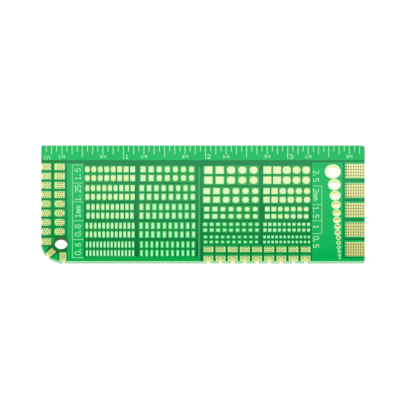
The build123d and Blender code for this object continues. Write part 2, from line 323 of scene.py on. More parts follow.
# %% Laminate finishes
def laminate_finish(name, pale, dark, layers):
    paint = Finish(name)
    ply = paint.noise(1100, 3, stretch=(0.15, 0.15, layers))
    speck = paint.noise(6000, 2)
    # Painted light: the laminate is paler towards the board's face.
    share = ((ply - 0.5) * 0.8 + paint.z / heights["top"] / MM).clamped()
    paint.set(Base_Color=paint.mix(linear(*dark), linear(*pale), share),
              Roughness=speck * 0.3 + 0.45)
    paint.bump(ply + speck * 0.5, 0.25, 0.00003)
    return paint.material


sawn_laminate = laminate_finish("sawn_laminate", (190, 250, 198), (138, 200, 146), 4.0)
# Its dark green is painted shade on the mounting hole's wall.
drilled_laminate = laminate_finish("drilled_laminate", (44, 100, 56), (22, 70, 38), 2.0)
print("laminate finishes:", sawn_laminate.name, drilled_laminate.name)

# %% [markdown]
# The gold over a pad with vias is painted uneven. Along the outline it is greener, a painted
# highlight, and along the columns of vias on the large pads it is darker, a painted shade of
# the vias. These patterns follow the pads' own sizes: what is left of a division by the pitch
# says where in its pad a spot lies.

# %% Where the gold has a painted highlight and a painted shade
border_width, side_border_width, end_border_width, grid_border_width = 0.2, 0.22, 0.14, 0.225
left_pads_right, left_pads_low, lower_pads_left = 8.0, 32.0, 50.0
via_shade_reach, first_via_shade_reach = 0.15, 0.13


def between_pads(value, first, pitch, reach):
    """1 where a value is further than reach from the middle of every pad in a row, else 0."""
    start = first - pitch / 2
    return ((value - start) % pitch - pitch / 2).magnitude().above(reach)


def via_border(paint):
    """1 near the outlines of the via pads at the left edge and at the foot, else 0."""
    along, drop = paint.on_board()
    left = between_pads(drop, left_first, left_pitch, rect_height / 2 - border_width)
    left = left.either(*[along.near(side, side_border_width)
                         for side in (edge_reach, inner_left, inner_left + inner_width)])
    lower = between_pads(along, lower_columns[0], lower_pitch, lower_width / 2 - border_width)
    lower = lower.either(*[drop.near(side, end_border_width)
                           for side in (lower_top, lower_low, board_width - castle_reach)])
    return (left * along.below(left_pads_right) * drop.below(left_pads_low)
            + lower * along.above(lower_pads_left))


def grid_border(paint):
    """1 near the outlines of the five large pads, else 0."""
    along, drop = paint.on_board()
    rows = between_pads(drop, grid_top + grid_height / 2, grid_pitch,
                        grid_height / 2 - grid_border_width)
    return rows.either(along.below(grid_left + 0.07))


def grid_wear(paint):
    """1 along the columns of vias on the large pads, else 0."""
    along, _ = paint.on_board()
    start = second_column - column_pitch / 2
    columns = ((along - start) % column_pitch).near(column_pitch / 2, via_shade_reach)
    return (columns * along.above(start)).either(along.near(first_column, first_via_shade_reach))


# Greener is the painted highlight, worn the painted shade along the columns of vias.
print("greener within", border_width, "mm of an outline, worn within", via_shade_reach,
      "mm of a column of vias")

# %% [markdown]
# The lands are copper with a thin wash of gold over nickel: pale, satin, and never quite even.
# Like the mask they are painted lighter towards the ruler edge, a painted sheen, and grow
# deeper towards the lower edge. Four attributes, which the pieces carry, do the rest: "tone"
# differs from land to land, "warm" from block to block, "rim" marks a land's sloping rim,
# which is greener with a painted highlight, and "small" lets a small land take its rim's
# painted highlight all over.
# Inside the barrels the same metal is smoother, so a wide barrel mirrors the white room and a
# narrow one grows dark.

# %% Gold and print
# The colour of the painted shade along the columns of vias.
via_shade_gold = linear(172, 160, 96)


def gold_finish(name, upper, lower, warm, rim, metallic=0.62, roughness=0.32, border=None,
                via_shade=None):
    """Colours at the ruler and the foot, a painted sheen, where it is warm, and a rim's painted
    light.
    """
    paint = Finish(name)
    upper, lower, warm, rim = [linear(*shade) for shade in (upper, lower, warm, rim)]
    # Painted sheen: the gold is lighter towards the ruler edge and deeper towards the foot.
    share = (paint.y / (board_width * MM) + 0.5).clamped()
    stain = paint.noise(900, 3)
    warmth = (stain * 0.9 + paint.attribute("tone") * 0.4 + paint.attribute("warm")
              - 0.45).clamped()
    face = paint.mix(paint.mix(lower, upper, share), warm, warmth)
    # The rim colour paints a highlight on rims, outlines and small lands, and shade in narrow
    # barrels.
    green = (paint.attribute("rim") * 0.8).either(paint.attribute("small"))
    if border:
        green = green.either(border(paint) * 0.7)
    face = paint.mix(face, rim, green)
    # Painted shade along the columns of vias.
    if via_shade:
        face = paint.mix(face, via_shade_gold, via_shade(paint) * 0.5)
    paint.set(Base_Color=face, Metallic=metallic, Roughness=stain * 0.2 + roughness)
    paint.bump(paint.noise(5200, 2) + stain, 0.1, 0.00003)
    return paint.material


gold_land = gold_finish("gold_land", (240, 255, 214), (184, 250, 186), (232, 241, 158),
                        (148, 252, 192))
gold_dot_land = gold_finish("gold_dot_land", (255, 254, 212), (184, 250, 186), (238, 241, 160),
                            (148, 252, 192))
gold_via_land = gold_finish("gold_via_land", (236, 252, 160), (198, 232, 142), (240, 228, 146),
                            (200, 255, 192), border=via_border)
gold_foot_land = gold_finish("gold_foot_land", (236, 240, 150), (206, 220, 134),
                             (240, 224, 140), (200, 255, 192), border=via_border)
gold_grid_land = gold_finish("gold_grid_land", (252, 255, 194), (196, 208, 118),
                             (242, 230, 150), (216, 255, 200), border=grid_border,
                             via_shade=grid_wear)
gold_barrel = gold_finish("gold_barrel", (240, 247, 178), (232, 240, 166), (214, 216, 98),
                          (104, 108, 34), 1.0, 0.2)
# Painted shade: a via's narrow barrel is dark brown all over.
via_barrel = gold_finish("via_barrel", (84, 56, 20), (72, 50, 16), (90, 52, 24), (84, 56, 20))
# The two ring finishes are darker gold, a painted shade round the vias.
gold_via_ring = gold_finish("gold_via_ring", (234, 234, 150), (206, 214, 132), (238, 222, 140),
                            (206, 250, 180))
gold_grid_ring = gold_finish("gold_grid_ring", (200, 196, 126), (172, 168, 98), (190, 176, 110),
                             (206, 250, 180))


def print_finish(name, thin, full):
    ink = Finish(name)
    grain = ink.noise(9000, 2)
    ink.set(Base_Color=ink.mix(linear(*thin), linear(*full), grain), Roughness=grain * 0.2 + 0.5)
    ink.bump(grain, 0.2, 0.00002)
    return ink.material


white_print = print_finish("white_print", (152, 250, 178), (182, 255, 204))
thin_print = print_finish("thin_print", (132, 224, 146), (164, 236, 172))
print("metal and print finishes:", gold_land.name, gold_dot_land.name, gold_via_land.name,
      gold_foot_land.name, gold_grid_land.name, gold_barrel.name, white_print.name)

# %% [markdown]
# Every piece is made the same way. A drawing, which is a mesh of points and edges in
# millimetres, goes into a Geometry Nodes tree as a modifier. The modifier's inputs are set by
# their sockets' identifiers, the result is turned into a plain mesh, and the modifier goes.

# %% Tree and piece helpers
class Tree(Nodes):
    """A Geometry Nodes tree with named inputs."""

    def __init__(self, name, **inputs):
        super().__init__(bpy.data.node_groups.new(name, "GeometryNodeTree"))
        face = self.tree.interface
        face.new_socket("Drawing", in_out="INPUT", socket_type="NodeSocketGeometry")
        for title, kind in inputs.items():
            face.new_socket(title, in_out="INPUT", socket_type="NodeSocket" + kind)
        face.new_socket("Piece", in_out="OUTPUT", socket_type="NodeSocketGeometry")
        source = self.tree.nodes.new("NodeGroupInput")
        self.inputs = {s.name: Value(self, s) for s in source.outputs if s.name}
        self.identifiers = {item.name: item.identifier for item in face.items_tree
                            if item.in_out == "INPUT"}

    def vector(self, x=0.0, y=0.0, z=0.0):
        return self.node("ShaderNodeCombineXYZ", sockets={0: x, 1: y, 2: z})

    def join(self, *parts):
        return self.node("GeometryNodeJoinGeometry", sockets={0: parts})

    def moved(self, geometry, offset):
        return self.node("GeometryNodeSetPosition", sockets={
            "Geometry": geometry, "Offset": offset})

    def on_points(self, points, instance, **more):
        return self.node("GeometryNodeInstanceOnPoints", sockets={
            "Points": points, "Instance": instance, **more})

    def round_curve(self, radius):
        return self.node("GeometryNodeCurvePrimitiveCircle", {"mode": "RADIUS"},
                         {"Resolution": via_steps, "Radius": radius})

    def box_curve(self, width, height):
        return self.node("GeometryNodeCurvePrimitiveQuadrilateral", sockets={
            "Width": width, "Height": height})

    def carried(self, name, kind="FLOAT"):
        """A value that the drawing's points carry."""
        return self.node("GeometryNodeInputNamedAttribute", {"data_type": kind}, {"Name": name})

    def finish(self, geometry):
        """Metres, one mesh and its material: the end of every tree."""
        small = self.node("GeometryNodeTransform", sockets={
            "Geometry": geometry, "Scale": (MM, MM, MM)})
        solid = self.node("GeometryNodeRealizeInstances", sockets={0: small})
        painted = self.node("GeometryNodeSetMaterial", sockets={
            "Geometry": solid, "Material": self.inputs["Finish"]})
        out = self.tree.nodes.new("NodeGroupOutput")
        self.put(out.inputs["Piece"], painted)

    def plate(self, outline, bottom, thickness, slope=0.0):
        """A closed plate from flat curves, its top drawn in a little where slope is given."""
        flat = self.node("GeometryNodeFillCurve", {"mode": "TRIANGLES"}, {0: outline})
        low = self.moved(flat, self.vector(z=bottom))
        raised = self.node("GeometryNodeExtrudeMesh", {"mode": "FACES"}, {
            "Mesh": low, "Offset": (0.0, 0.0, 1.0), "Offset Scale": thickness,
            "Individual": False})
        top = raised.of("Top")
        if slope:
            raised = self.node("GeometryNodeExtrudeMesh", {"mode": "FACES"}, {
                "Mesh": raised, "Selection": top, "Offset": (0.0, 0.0, 1.0),
                "Offset Scale": thickness * 0.5, "Individual": False})
            top = raised.of("Top")
            raised = self.node("GeometryNodeScaleElements", {"domain": "FACE"}, {
                "Geometry": raised, "Selection": top, "Scale": slope})
            raised = self.node("GeometryNodeStoreNamedAttribute",
                               {"data_type": "FLOAT", "domain": "FACE"}, {
                                   "Geometry": raised, "Name": "rim",
                                   "Value": 1.0 - top})
        under = self.node("GeometryNodeFlipFaces", sockets={0: low})
        return self.node("GeometryNodeMergeByDistance", sockets={
            "Geometry": self.join(raised, under), "Distance": 0.0005})


made = []
sharp_from = radians(28)


def linked(name, data):
    """A new object in the scene, at the origin."""
    thing = bpy.data.objects.new(name, data)
    bpy.context.scene.collection.objects.link(thing)
    return thing


def drawing(name, points, edges=(), **attributes):
    """An object that holds only points and edges, with one value per point in each attribute."""
    mesh = bpy.data.meshes.new(name)
    mesh.from_pydata([(*p, 0.0)[:3] for p in points], list(edges), [])
    for title, values in attributes.items():
        vector = isinstance(values[0], tuple)
        layer = mesh.attributes.new(title, "FLOAT_VECTOR" if vector else "FLOAT", "POINT")
        for slot, value in zip(layer.data, values):
            setattr(slot, "vector" if vector else "value", value)
    return linked(name, mesh)


def smoothed(mesh):
    """Round walls shade smoothly and edges stay sharp."""
    mesh.shade_smooth()
    mesh.set_sharp_from_angle(angle=sharp_from)


def grow(piece, tree, **inputs):
    """Runs a tree on a drawing and leaves a plain mesh."""
    modifier = piece.modifiers.new("tree", "NODES")
    modifier.node_group = tree.tree
    for title, value in inputs.items():
        modifier[tree.identifiers[title]] = value
    graph = bpy.context.evaluated_depsgraph_get()
    mesh = bpy.data.meshes.new_from_object(piece.evaluated_get(graph), depsgraph=graph,
                                           preserve_all_data_layers=True)
    piece.modifiers.clear()
    piece.data = mesh
    mesh.materials.clear()
    mesh.materials.append(inputs["Finish"])
    mesh.polygons.foreach_set("material_index", [0] * len(mesh.polygons))
    smoothed(mesh)
    return piece


def keep(piece, slot, *nodes):
    """The piece rides on the board and stands for CAD nodes. The slot is not used."""
    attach(piece, "root")
    if nodes:
        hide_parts(*nodes)
    made.append(piece)
    print(piece.name, "has", len(piece.data.polygons), "faces")
    return piece


def joined(name, *parts):
    """Several finished meshes as one."""
    with bpy.context.temp_override(active_object=parts[0], selected_editable_objects=parts):
        bpy.ops.object.join()
    parts[0].name = parts[0].data.name = name
    return parts[0]


# %% [markdown]
# The first tree makes any sheet from its drawing. Closed loops of edges become its outline and
# its cut-outs, and every loose point is drilled: a circle is set on it before the sheet is
# filled. Fill Curve leaves out what lies inside an odd number of loops, so a via needs no
# boolean cut.

# %% Tree for drilled sheets
sheet_tree = Tree("drilled_sheet", Bottom="Float", Thickness="Float", Drill="Float",
                  Finish="Material")
source = sheet_tree.inputs["Drawing"]
lines = sheet_tree.node("GeometryNodeMeshToCurve", sockets={"Mesh": source})
loose = sheet_tree.node("GeometryNodeInputMeshVertexNeighbors").equals(0)
drill = sheet_tree.round_curve(sheet_tree.inputs["Drill"])
holes = sheet_tree.on_points(source, drill, Selection=loose)
cuts = sheet_tree.node("GeometryNodeRealizeInstances", sockets={0: holes})
sheet_tree.finish(sheet_tree.plate(sheet_tree.join(lines, cuts), sheet_tree.inputs["Bottom"],
                                   sheet_tree.inputs["Thickness"]))


def sheet(name, finish, bottom, top, loops, drilled=(), drill=via_bore):
    """A sheet between two of the named heights."""
    points, edges = [], []
    for loop in loops:
        first = len(points)
        points += loop
        edges += [(first + i, first + (i + 1) % len(loop)) for i in range(len(loop))]
    piece = drawing(name, points + list(drilled), edges)
    return grow(piece, sheet_tree, Bottom=heights[bottom],
                Thickness=heights[top] - heights[bottom], Drill=drill, Finish=finish)


print("sheet tree has", len(sheet_tree.tree.nodes), "nodes")

# %% [markdown]
# Loops are lists of points. A rounded rectangle covers strips, cells and lands, and arc() draws
# the holes, the round corners and the half holes in the edge.

# %% Loop helpers
def arc(centre, radius, start, end, steps):
    return [(centre[0] + radius * cos(start + (end - start) * i / steps),
             centre[1] + radius * sin(start + (end - start) * i / steps))
            for i in range(steps + 1)]


def circle(centre, radius, steps):
    return arc(centre, radius, 0.0, tau, steps)[:-1]


def rectangle(x, drop, width, height, corner=0.0, steps=4):
    """A loop named by its upper left corner."""
    (left, top), (right, low) = place(x, drop), place(x + width, drop + height)
    if not corner:
        return [(left, low), (right, low), (right, top), (left, top)]
    rounds = [(right - corner, top - corner), (left + corner, top - corner),
              (left + corner, low + corner), (right - corner, low + corner)]
    loop = []
    for turn, middle in enumerate(rounds):
        loop += arc(middle, corner, turn * pi / 2, (turn + 1) * pi / 2, steps)
    return loop


small, tiny = corner_radii["small"], corner_radii["ruler"]
low_right_round = arc(place(board_length - small, board_width - small), small, -pi / 2, 0.0, 8)
top_right_round = arc(place(board_length - small, small), small, 0.0, pi / 2, 8)
top_left_round = arc(place(tiny, tiny), tiny, pi / 2, pi, 6)
print("the right corners' radius is", small, "and the ruler corner's", tiny)

# %% [markdown]
# The castellations are plated half holes along the left and lower edges, one of them on the
# large corner. The board's outline walks round the edge and dips into each of them.

# %% Outline with its half holes
notch_radius, plating = 0.48, 0.12
foot_x, corner_angle = 6.67, radians(225)
big = corner_radii["foot"]
corner_centre = place(big, board_width - big)
corner_notch = (corner_centre[0] + big * cos(corner_angle),
                corner_centre[1] + big * sin(corner_angle))


def board_loop(notch, steps=10):
    """Round the board against the clock, from the lower left corner's end."""
    loop = []
    for x in [foot_x] + lower_columns:
        loop += arc(place(x, board_width), notch, pi, 0.0, steps)
    loop += low_right_round + top_right_round + top_left_round
    for drop in left_drops:
        loop += arc(place(0.0, drop), notch, pi / 2, -pi / 2, steps)
    reach = 2 * asin(notch / (2 * big))
    loop += arc(corner_centre, big, pi, corner_angle - reach, 14)
    turn = pi / 2 - reach / 2
    inward = corner_angle + pi
    loop += arc(corner_notch, notch, inward + turn, inward - turn, steps)[1:-1]
    loop += arc(corner_centre, big, corner_angle + reach, 1.5 * pi, 12)
    return loop


outline = board_loop(notch_radius + plating)
print("outline points:", len(outline))

# %% [markdown]
# Every via is a point. The left pads, the lower pads and the grid pads each have their own
# pattern, read off the picture, and the same points later drill the laminate, the masks and the
# lands. Some rows are nudged a little, as they are on the real board.

# %% Where the vias are
def staggered(x, drop, rows, pitch_y):
    """Rows of vias round a pad's centre: each row is a list of offsets along X."""
    middle = (len(rows) - 1) / 2
    return [place(x + offset, drop + (number - middle) * pitch_y)
            for number, row in enumerate(rows) for offset in row]


edge_rows = [(0.69, 1.43, 2.18), (1.0, 1.78, 2.55), (0.69, 1.43, 2.18)]
inner_rows = [(5.12, 5.86, 6.6), (4.86, 5.6, 6.35), (5.12, 5.86, 6.6)]
left_row_pitch = 0.70
left_nudges = [(0.0, 0.08), (0.0, 0.0), (0.0, 0.0), (0.0, 0.0), (0.07, 0.07), (0.03, 0.03),
               (0.07, 0.0), (0.08, 0.03), (0.0, 0.0)]
edge_vias = [v for drop, (_, down) in zip(left_drops, left_nudges)
             for v in staggered(0.0, drop + down, edge_rows, left_row_pitch)]
inner_vias = [v for drop, (along, down) in zip(left_drops[:-1], left_nudges)
              for v in staggered(along, drop + down, inner_rows, left_row_pitch)]

lower_rows = [(-0.7, 0.0, 0.7), (-1.05, -0.35, 0.35, 1.05), (-0.7, 0.0, 0.7)]
lower_middle, lower_row_pitch = 35.97, 0.62
lower_shifts = (-0.15, -0.15, 0.14, 0.07, -0.01, -0.07, -0.15, -0.15, -0.15)
lower_vias = [v for x, shift in zip(lower_columns, lower_shifts)
              for v in staggered(x + shift, lower_middle, lower_rows, lower_row_pitch)]
castle_rows = [(-0.7, 0.0, 0.7), (-1.0, 1.0)]
castle_middle, castle_row_pitch = 38.74, 0.46
castle_vias = [v for x in lower_columns
               for v in staggered(x, castle_middle, castle_rows, castle_row_pitch)]

grid_columns = [first_column] + [second_column + column_pitch * column for column in range(7)]
grid_rows = [(7.31, 1.02, 4), (13.5, 1.01, 5), (20.8, 1.0, 4), (27.0, 0.99, 5), (34.15, 0.97, 5)]
grid_vias = [place(x, first + pitch * row) for first, pitch, rows in grid_rows
             for row in range(rows) for x in grid_columns]
tongue = [(0.95, 0.0), (1.7, 0.0), (2.45, 0.0), (1.35, -0.58), (1.35, 0.58), (2.1, -0.58),
          (2.1, 0.58)]


def turned(points, centre, angle):
    """Points given along and across a direction, set at a place on the edge."""
    return [(centre[0] + u * cos(angle) - v * sin(angle),
             centre[1] + u * sin(angle) + v * cos(angle)) for u, v in points]


corner_vias = turned(tongue, corner_notch, corner_angle + pi)
foot_vias = turned(tongue, place(foot_x, board_width), pi / 2)
all_vias = (edge_vias + inner_vias + lower_vias + castle_vias + grid_vias + corner_vias
            + foot_vias)
print("vias:", len(all_vias))

# %% [markdown]
# The graded holes hang from one line at their right, each land touching the next. Their places
# come from the CAD model's nodes. Each bore leaves a land of up to 0.35 mm round it, and a
# narrow one leaves a share of its own size.

# %% Graded holes
land_diameters = [4.95, 3.97, 3.45, 2.92, 2.52, 2.35, 2.07, 1.93, 1.47, 1.4, 1.18, 0.98, 0.84,
                  0.62]
widest_land, land_share = 0.35, 0.3


def graded_hole(number, diameter):
    """Its number, centre, land, bore and barrel wall, the last three as radii."""
    left, right, top, low = cad_box(f"plated_hole_{number:02d}")
    land = diameter / 2
    bore = land - min(widest_land, land_share * diameter)
    wall = bore + min(plating, land_share * (land - bore) * 2)
    return number, place((left + right) / 2, (top + low) / 2), land, bore, wall


def round_steps(radius):
    return 64 if radius > 1 else 32


graded = [graded_hole(*hole) for hole in enumerate(land_diameters, start=1)]
drilled_loops = [circle(centre, wall, round_steps(wall)) for _, centre, _, _, wall in graded]
mounting_loop = circle(place(hole_x, hole_drop), hole_radius, round_steps(hole_radius))
print("graded bores from", round(2 * graded[0][3], 2), "to", round(2 * graded[-1][3], 2), "mm")

# %% [markdown]
# The board itself: the laminate with all its holes, the dark mask on its face and the mask on
# its back. They are sheets from the same outline. The mounting hole's wall takes a second
# finish, which is darker with painted shade.

# %% Laminate and masks
def whole_sheet(name, finish, bottom, top):
    return sheet(name, finish, bottom, top, [outline, mounting_loop] + drilled_loops, all_vias,
                 via_drill)


core = whole_sheet("laminate", sawn_laminate, "core", "mask")
core.data.materials.append(drilled_laminate)
centre = Vector((*place(hole_x, hole_drop), 0)) * MM
# The mounting hole's wall faces, which take the painted shade.
shaded_wall_faces = [face for face in core.data.polygons
            if (face.center.xy - centre.xy).length < (hole_radius + 0.05) * MM]
for face in shaded_wall_faces:
    face.material_index = 1
print("wall faces of the mounting hole:", len(shaded_wall_faces))
keep(core, "laminate", "laminate_core")
keep(whole_sheet("face_mask", mask_over_laminate, "mask", "cell"), "mask_dark", "solder_mask")
keep(whole_sheet("back_mask", mask_over_copper, "back_mask", "core"), "mask_dark")

# %% [markdown]
# The strips are copper under mask: the ruler strip and the two label strips, which turn along
# the foot of the board, the left one under the bar pads and the right one to the board's end.
# The left strip leaves room for the mounting hole, and its foot goes round the centre stripe's
# lower end.

# %% Copper strips
def copper_strip(name, finish, loops, *nodes):
    keep(sheet(name, finish, "cell", "strip", loops), "mask_light", *nodes)


ruler_low = cad_box("ruler_strip")[3]
copper_strip("ruler_strip_copper", mask_over_copper,
             [top_right_round + top_left_round
              + [place(0.0, ruler_low), place(board_length, ruler_low)]], "ruler_strip")

left_strip_width, hole_margin = 5.1, 0.3
strip_left, foot_end, strip_top, _ = cad_box("label_strip_left")
strip_right = strip_left + left_strip_width
keepout = hole_radius + hole_margin
bite = asin((strip_left - hole_x) / keepout)
left_loop = ([place(strip_right, strip_top), place(strip_left, strip_top)]
             + arc(place(hole_x, hole_drop), keepout, pi / 2 - bite, bite - pi / 2, 16)
             + [place(strip_left, board_width), place(strip_right, board_width)])
copper_strip("left_label_copper", mask_over_copper, [left_loop], "label_strip_left")

left_foot_top = board_width - 1.6
trace_left, _, _, trace_low = cad_box("centre_trace")
beside_trace, below_trace = trace_left - 0.05, trace_low + 0.02
foot_loop = [place(*p) for p in [
    (strip_right, board_width), (foot_end, board_width), (foot_end, below_trace),
    (beside_trace, below_trace), (beside_trace, left_foot_top), (strip_right, left_foot_top)]]
copper_strip("left_foot_copper", mask_over_foot, [foot_loop])

right_strip_width, right_foot_top = 9.5, board_width - 1.1
strip_left, _, strip_top, _ = cad_box("label_strip_right")
strip_right = strip_left + right_strip_width
right_loop = ([place(strip_right, strip_top), place(strip_left, strip_top),
               place(strip_left, board_width)] + low_right_round
              + [place(board_length, right_foot_top), place(strip_right, right_foot_top)])
copper_strip("right_label_copper", mask_over_copper, [right_loop] + drilled_loops,
             "label_strip_right")

# %% [markdown]
# The second tree sets lands on points. A point's "shape" number picks its outline: 0 is round
# or oval, 1 has cut corners and 2 is square. Fillet Curve makes all three from one rectangle,
# with many steps for the oval and a single one for the cut corner. Two thirds of a land's height
# are straight and the rest is its sloping rim. A seeded random number is stored on each instance
# as its tone before the instances are made real.

# %% Tree for lands
land_tree = Tree("lands_on_points", Width="Float", Height="Float", Round="Float", Cut="Float",
                 Bottom="Float", Thickness="Float", Slope="Float", Seed="Int",
                 Finish="Material")
source = land_tree.inputs
which = land_tree.carried("shape")
kinds = []
for number, (steps, corner) in enumerate([(9, source["Round"]), (1, source["Cut"]), (3, 0.08)]):
    box = land_tree.box_curve(source["Width"], source["Height"])
    edge = land_tree.node("GeometryNodeFilletCurve", {"mode": "POLY"}, {
        "Curve": box, "Count": steps, "Radius": corner, "Limit Radius": True})
    land = land_tree.plate(edge, source["Bottom"], source["Thickness"] / 1.5, source["Slope"])
    kinds.append(land_tree.on_points(source["Drawing"], land, Selection=which.equals(number)))
lands = land_tree.join(*kinds)
tone = land_tree.node("FunctionNodeRandomValue", {"data_type": "FLOAT"},
                      {"Seed": source["Seed"]}, output="Value")
toned = land_tree.node("GeometryNodeStoreNamedAttribute",
                       {"data_type": "FLOAT", "domain": "INSTANCE"},
                       {"Geometry": lands, "Name": "tone", "Value": tone})
land_tree.finish(toned)
print("land tree has", len(land_tree.tree.nodes), "nodes")

# %% [markdown]
# Four blocks of practice pads, five sizes in each, two rows of every size. The bar blocks run
# from ovals over cut corners to rectangles, and the second bar block the other way round. The
# dot blocks run from squares over one or two cut corners to rounds. The tight blocks are a
# little warmer than the wide ones, and the smallest lands take their rim's green, a painted
# highlight, all over.

# %% The practice blocks
OVAL, CUT, SQUARE = 0, 1, 2
line, row_gap, size_gap, bar_height = 0.3, 1.0, 0.8, 2.0
cell_inset, cell_row_inset, rim_width = 0.06, 0.16, 0.12
cut_share, green_below = 0.25, 0.95
bar_rows = {"bar_tight": [(1.5, 3, 2, 3), (1.25, 3, 3, 3), (1.0, 3, 4, 3), (0.8, 4, 5, 3),
                          (0.6, 4, 5, 5)],
            "bar_wide": [(1.5, 2, 2, 3), (1.25, 2, 3, 3), (1.0, 3, 3, 3), (0.8, 3, 4, 3),
                         (0.6, 3, 4, 4)]}
dot_rows = {"dot_wide": [(2.5, 2, 1, 2), (2.0, 2, 2, 2), (1.5, 2, 0, 5), (1.0, 3, 0, 6),
                         (0.75, 3, 0, 7)],
            "dot_tight": [(2.5, 2, 1, 2), (2.0, 2, 2, 2), (1.5, 2, 0, 5), (1.0, 3, 0, 7),
                          (0.75, 4, 0, 8)]}
orders = {"bar_tight": (OVAL, CUT, SQUARE), "bar_wide": (SQUARE, CUT, OVAL),
          "dot_wide": (SQUARE, CUT, OVAL), "dot_tight": (SQUARE, CUT, OVAL)}
gaps = {"bar_tight": 0.5, "bar_wide": 1.0, "dot_wide": 1.0, "dot_tight": 0.5}
warmths = {"bar_tight": 0.42, "bar_wide": 0.0, "dot_wide": 0.0, "dot_tight": 0.25}

cells = []
for block, rows in {**bar_rows, **dot_rows}.items():
    left, right, drop, _ = cad_box(block + "_ground")
    middle = (left + right) / 2
    bars = block.startswith("bar")
    for size, *counts in rows:
        height = bar_height if bars else size
        shapes = [shape for shape, count in zip(orders[block], counts) for _ in range(count)]
        pitch = size + gaps[block]
        first = middle - pitch * (len(shapes) - 1) / 2
        cell = (pitch - line - cell_inset, height + row_gap - line - cell_row_inset, 1.0)
        centres = [place(first + pitch * column,
                         drop + (row_gap - line) / 2 + height / 2 + row * (height + row_gap))
                   for row in range(2) for column in range(len(shapes))]
        cells += [(centre, cell, block) for centre in centres]
        node = f"{block}_pads_{round(100 * size):03d}"
        count = len(centres)
        # "small" spreads the rim's painted highlight over the smallest lands.
        piece = drawing("lands_" + node, centres, shape=[float(shape) for shape in shapes] * 2,
                        small=[max(0.0, green_below - size * height / 2)] * count,
                        warm=[warmths[block]] * count)
        grow(piece, land_tree, Width=size, Height=height, Round=min(size, height) / 2,
             Cut=cut_share * size, Bottom=heights["strip"], Thickness=foil,
             Slope=1 - 2 * rim_width / size, Seed=len(made),
             Finish=gold_land if bars else gold_dot_land)
        keep(piece, "gold", node)
        drop += 2 * (height + row_gap) - line + size_gap

# %% [markdown]
# Under each pad lies its own cell of copper, cut from its neighbours by a fine line where the
# dark mask shows. A third, small tree sets a flat plate on every cell's point and stretches it
# to the size that the point carries.

# %% Tree for copper cells
cell_tree = Tree("copper_cells", Bottom="Float", Thickness="Float", Finish="Material")
source = cell_tree.inputs
plate = cell_tree.plate(cell_tree.box_curve(1.0, 1.0), source["Bottom"], source["Thickness"])
cell_tree.finish(cell_tree.on_points(source["Drawing"], plate,
                                     Scale=cell_tree.carried("size", "FLOAT_VECTOR")))
for block in orders:
    own = [(centre, size) for centre, size, where in cells if where == block]
    piece = drawing(block + "_cells", [c for c, _ in own], size=[s for _, s in own])
    grow(piece, cell_tree, Bottom=heights["cell"], Thickness=foil, Finish=mask_over_cells)
    keep(piece, "mask_light", block + "_ground")

# %% [markdown]
# The via pads at the left, at the foot and at the right end lie in openings of their cells, so a
# cell here is a frame. The land in it is drilled by the same points that drill the board.

# %% Via pads
def inner_pad(row, drop):
    """The upper four pads are square and the lower four are round at their corners."""
    if row < 4:
        return rectangle(inner_left, drop - rect_height / 2, inner_width, rect_height, 0.15)
    return rectangle(inner_left, drop - round_height / 2, inner_width, round_height,
                     round_corner, 5)


inner_loops = [inner_pad(row, drop) for row, drop in enumerate(left_drops[:-1])]
lower_loops = [rectangle(x - lower_width / 2, lower_top, lower_width, lower_low - lower_top, 0.12)
               for x in lower_columns]
grid_tops = [grid_top + grid_pitch * row for row in range(grid_count)]
grid_loops = [rectangle(grid_left, top, board_length - grid_left, grid_height, 0.1)
              for top in grid_tops]
for name, finish, loops, vias, node in [
        ("inner_via_lands", gold_via_land, inner_loops, inner_vias, "via_pads_left"),
        ("lower_via_lands", gold_via_land, lower_loops, lower_vias, "via_pads_lower"),
        ("grid_lands", gold_grid_land, grid_loops, grid_vias, "grid_pads")]:
    keep(sheet(name, finish, "cell", "strip", loops, vias), "gold", node)

# %% [markdown]
# A castellated pad is a land at the very edge with a plated half hole. Each is three sheets of
# one outline: the land on the face, the half wall through the board and a land on the back.

# %% Castellated pads
def land_path(length, width, bow=0.0, corner=0.15, cut=0.0):
    """A land's outline in from the edge and back, along and across its direction."""
    half, steps = width / 2, 5 if corner > 0.5 else 2
    path = [(bow, half - cut), (bow + cut, half)] if cut else [(bow, half)]
    path += arc((length - corner, half - corner), corner, pi / 2, 0.0, steps)
    path += arc((length - corner, corner - half), corner, 0.0, -pi / 2, steps)
    return path + ([(bow + cut, -half), (bow, cut - half)] if cut else [(bow, -half)])


def edge_outline(centre, angle, *land):
    """A land that starts at the edge, with the half hole in its outer side."""
    return turned(land_path(*land) + arc((0.0, 0.0), notch_radius, -pi / 2, pi / 2, 10),
                  centre, angle)


def edge_wall(centre, angle):
    outer = arc((0.0, 0.0), notch_radius + plating, pi / 2, -pi / 2, 10)
    inner = arc((0.0, 0.0), notch_radius, -pi / 2, pi / 2, 10)
    return turned(outer + inner, centre, angle)


def left_land(row):
    """The first four pads and the last one have square corners."""
    if 3 < row < 8:
        return (edge_reach, round_height, 0.0, round_corner, 0.42)
    return (edge_reach, rect_height if row < 4 else round_height)


